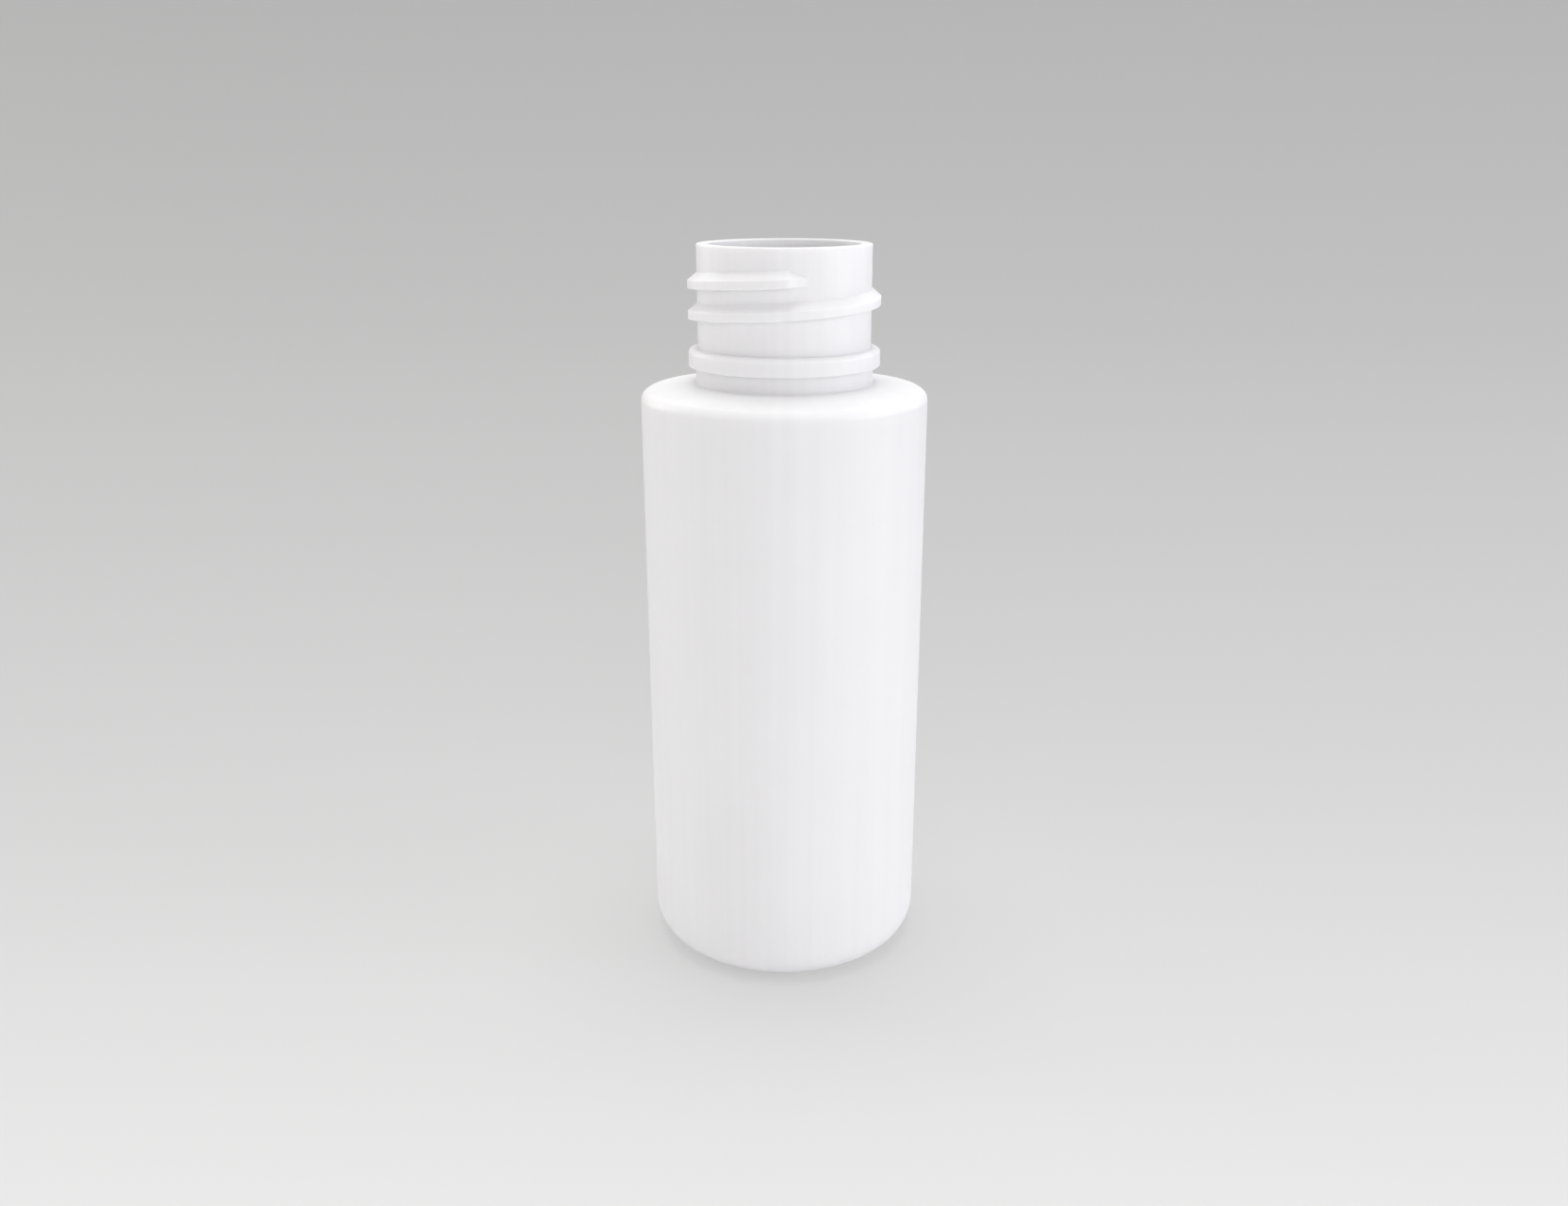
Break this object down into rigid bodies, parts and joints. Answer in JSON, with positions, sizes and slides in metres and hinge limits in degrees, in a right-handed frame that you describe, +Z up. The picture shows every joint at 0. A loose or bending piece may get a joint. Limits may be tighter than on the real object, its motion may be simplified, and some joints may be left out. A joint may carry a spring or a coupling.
{
  "type": "cosmetic bottle",
  "caption": "Open white plastic bottle: a straight round body with a nearly flat shoulder, a screw-threaded neck with a transfer bead, and a raised panel inside its standing ring.",
  "frame": {"origin": "on the bottle's axis, in the plane of the standing ring under the base", "axes": "+Z up along the bottle's axis, from the base to the mouth; the pictured front faces -Y, and the thread's top end is at the front"},
  "size_m": [0.036, 0.036, 0.0927],
  "materials": {
    "white_plastic": "satin"
  },
  "bodies": {
    "root": {"bottle": "white_plastic"}
  },
  "joints": []
}
